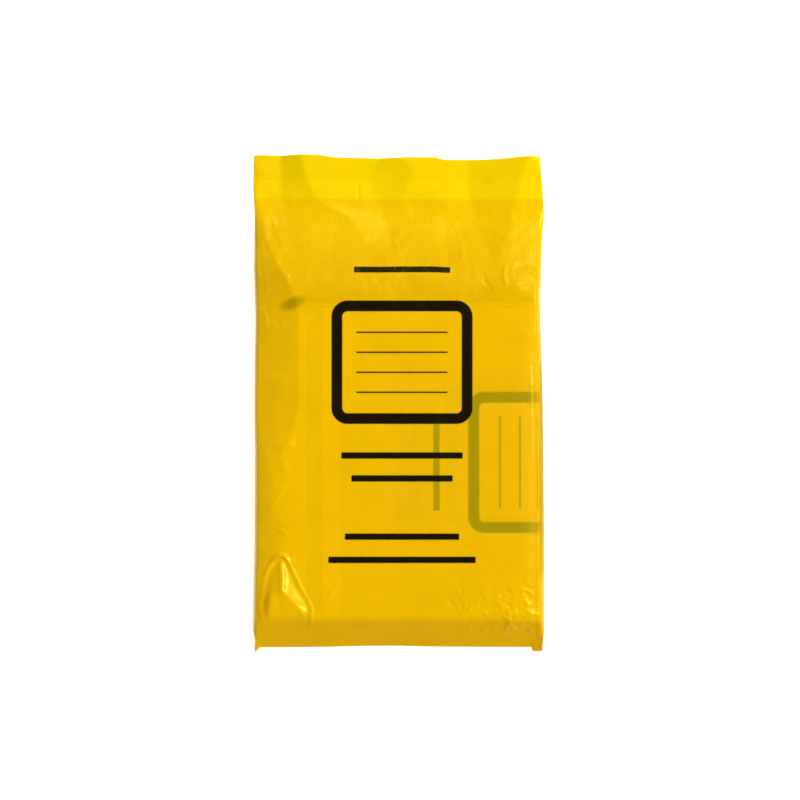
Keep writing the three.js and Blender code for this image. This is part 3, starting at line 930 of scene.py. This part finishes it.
def film_bump(shader, y):
    """Fine grain, and faint swirls that are strongest on the ramp."""
    grain = shader.noise(1.6, 4.0, 0.6)
    swirl = ((shader.noise(17, 1.5, 0.5) * 11.0).math("FRACT") - 0.5).absolute().step(0.16, 0.0)
    on_ramp = (y.step(STACK_BACK - 10, STACK_BACK + 12) * y.step(MOUTH_Y - 26, MOUTH_Y - 34)).at_least(0.12)
    height = grain * 0.35 + swirl * shader.noise(11, 1.0).step(0.40, 0.62) * on_ramp * 0.4
    return shader.add("ShaderNodeBump", Height=height, Strength=0.6, Distance=0.00025)


def film_material():
    """Thin yellow film, see-through where its front lies on the stack, printed in black on its front, with
    painted light and shade in its colour.
    """
    shader = Shader("yellow_film")
    x, y = shader.place()
    across_bag, down = shader.flat_place()
    on_back = across_bag.step(0.4 * BACK_SHIFT, 0.6 * BACK_SHIFT)
    ink = print_mask(across_bag - PRINT_MIDDLE, down, 0.35)
    on_stack = over_stack(x, y)
    at_mouth = y.step(STRIP_END - 0.7, STRIP_END + 0.7)
    see_through = on_stack * thinness(x, y)
    red, green = film_tint(shader, x, y, at_mouth)
    keep_red, keep_green = film_shades(shader, x, y, on_stack)
    # Film that lets light through gives back less of it, and is paler to make up for that
    red = red * keep_red + see_through * (0.62 - 0.76 * see_through)
    green = green * keep_green + see_through * (0.39 - 0.15 * see_through)
    see_through = see_through.at_least(at_mouth * 0.12)
    shader.set(
        Base_Color=shader.mix_colour(shader.colour(red, green), INK, ink),
        Alpha=(1 - see_through).at_least(ink).at_least(on_back),
        Roughness=0.20 + 0.10 * shader.noise(3.0),
        Specular_IOR_Level=0.32,
        Specular_Tint=(1.0, 0.86, 0.13, 1),
        Normal=film_bump(shader, y),
    )
    return shader.material


# The folded bags' red and green, plain, clouded and on the tape, and what their print tends to
FOLDED = (0.83, 0.425)
FOLDED_CLOUD = (0.80, 0.405)
FOLDED_TAPE = (0.88, 0.45)
FOLDED_INK = (0.02, 0.02, 0.0, 1)
INK_BENEATH = (0.30, 0.20, 0.0, 1)


def folded_film_material(name, printed, shade=1.0):
    """Several films deep of the same yellow. The print is as soft-edged as it looks through the film."""
    shader = Shader(name)

    def shaded(tint):
        return (tint[0] * shade, tint[1] * shade, 0.0, 1)

    colour = shader.mix_colour(shaded(FOLDED), shaded(FOLDED_CLOUD), shader.noise(20, 2.0).step(0.35, 0.7))
    if printed:
        across_bag, down = shader.flat_place()
        tape = down.step(-0.2, 0.2) * down.step(TAPE_WIDTH + 0.2, TAPE_WIDTH - 0.6)
        colour = shader.mix_colour(colour, shaded(FOLDED_TAPE), tape)
        beneath = print_mask(across_bag - 4.0, down + 15.0, 2.2) * 0.10
        colour = shader.mix_colour(colour, INK_BENEATH, beneath)
        colour = shader.mix_colour(colour, FOLDED_INK, print_mask(across_bag, down, 0.9) * 0.94)
    shader.set(Base_Color=colour, Roughness=0.5, Specular_IOR_Level=0.1)
    return shader.material


def strip_material():
    """Pale release tape, a little blotchy."""
    shader = Shader("release_tape")
    blotch = shader.noise(9, 3.0)
    colour = shader.mix_colour((0.95, 0.74, 0.01, 1), (0.90, 0.68, 0.0, 1), blotch.step(0.35, 0.7))
    shader.set(Base_Color=colour, Roughness=0.55)
    return shader.material


def floor_material():
    """Pale floor that gives off a little light of its own, so that no shadow shows on it."""
    shader = Shader("pale_floor")
    colour = (0.72, 0.72, 0.72, 1)
    shader.set(Base_Color=colour, Roughness=0.9, Emission_Color=colour, Emission_Strength=1.0)
    return shader.material


# Floor, light and camera

# Two far lamps: their strength, how wide they look, the turn of their direction and their height, in degrees
LAMPS = [
    {"name": "key", "strength": 2.9, "spread": 12, "turn": 16, "height": 50},
    {"name": "fill", "strength": 0.45, "spread": 12, "turn": 65, "height": 56},
]
# The room's light by how steeply one looks up, as the sine of the angle. Between each row's first two sines
# it goes from the third number to the fourth.
ROOM_BANDS = [(0.25, 0.55, 0.06, 1.0), (0.80, 0.97, 1.0, 0.15)]
ROOM_LIGHT = 0.56


def lay_floor():
    """A level floor far wider than the view."""
    half = 6.0
    mesh = bpy.data.meshes.new("studio_floor")
    corners = [(-half, -half, 0), (half, -half, 0), (half, half, 0), (-half, half, 0)]
    mesh.from_pydata(corners, [], [(0, 1, 2, 3)])
    mesh.materials.append(floor_material())
    floor = bpy.data.objects.new("studio_floor", mesh)
    bpy.context.scene.collection.objects.link(floor)


def hang_lamps():
    """A soft key from the right and a weak fill from the mouth's side."""
    for row in LAMPS:
        lamp = bpy.data.lights.new(row["name"], "SUN")
        lamp.energy = row["strength"]
        lamp.angle = math.radians(row["spread"])
        lamp_object = bpy.data.objects.new(row["name"], lamp)
        lamp_object.rotation_euler = (0, math.radians(90 - row["height"]), math.radians(row["turn"]))
        bpy.context.scene.collection.objects.link(lamp_object)


def light_room():
    """The room's own light, dark overhead and far off."""
    world = bpy.data.worlds.new("room")
    bpy.context.scene.world = world
    world.use_nodes = True
    tree = world.node_tree
    direction = tree.nodes.new("ShaderNodeTexCoord")
    parts = tree.nodes.new("ShaderNodeSeparateXYZ")
    tree.links.new(direction.outputs["Generated"], parts.inputs[0])
    brightness = tree.nodes.new("ShaderNodeValue")
    brightness.outputs[0].default_value = ROOM_LIGHT
    light = brightness.outputs[0]
    for limits in ROOM_BANDS:
        band = tree.nodes.new("ShaderNodeMapRange")
        band.interpolation_type = "SMOOTHSTEP"
        for socket, number in zip(band.inputs[1:5], limits):
            socket.default_value = number
        tree.links.new(parts.outputs[2], band.inputs[0])
        product = tree.nodes.new("ShaderNodeMath")
        product.operation = "MULTIPLY"
        tree.links.new(light, product.inputs[0])
        tree.links.new(band.outputs[0], product.inputs[1])
        light = product.outputs[0]
    background = tree.nodes["Background"]
    background.inputs["Color"].default_value = (1, 1, 1, 1)
    tree.links.new(light, background.inputs["Strength"])


def set_camera():
    """Straight above, far off, with the photograph's framing."""
    distance = 4.0
    focus_height = 6.0
    camera = bpy.data.cameras.new("camera")
    camera.sensor_width = 36.0
    camera.lens = camera.sensor_width * distance / (PHOTO_WIDTH * PIXEL * MM)
    camera_object = bpy.data.objects.new("camera", camera)
    centre_x, centre_y = from_photo(PHOTO_WIDTH / 2, PHOTO_WIDTH / 2)
    camera_object.location = (centre_x * MM, centre_y * MM, distance + focus_height * MM)
    bpy.context.scene.collection.objects.link(camera_object)
    bpy.context.scene.camera = camera_object


def main():
    """Make every piece and hide the CAD part it stands in for, then set the floor, the light and the camera.
    """
    film = film_material()
    bag = outer_bag(film)
    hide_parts("outer_bag")
    strip = adhesive_strip(strip_material())
    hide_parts("adhesive_strip")
    top = folded_bag(
        "top_folded_bag_film", HALF_STACK, TOP_MOUTH_X, TOP_LOW[0], STACK_FRONT,
        folded_film_material("top_folded_film", True), 61,
    )
    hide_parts("top_folded_bag")
    second = folded_bag(
        "second_folded_bag_film", HALF_STACK - SECOND_DEPTH, OTHER_MOUTH_X, SECOND_LOW[0], SECOND_LOW[1],
        folded_film_material("second_folded_film", False, 0.98), 63,
    )
    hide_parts("second_folded_bag")
    leaves = stack_leaves(folded_film_material("stacked_film", False, 0.96))
    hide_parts("folded_bag_stack")
    lay_floor()
    hang_lamps()
    light_room()
    set_camera()
    bpy.context.scene.view_settings.view_transform = "Standard"


main()
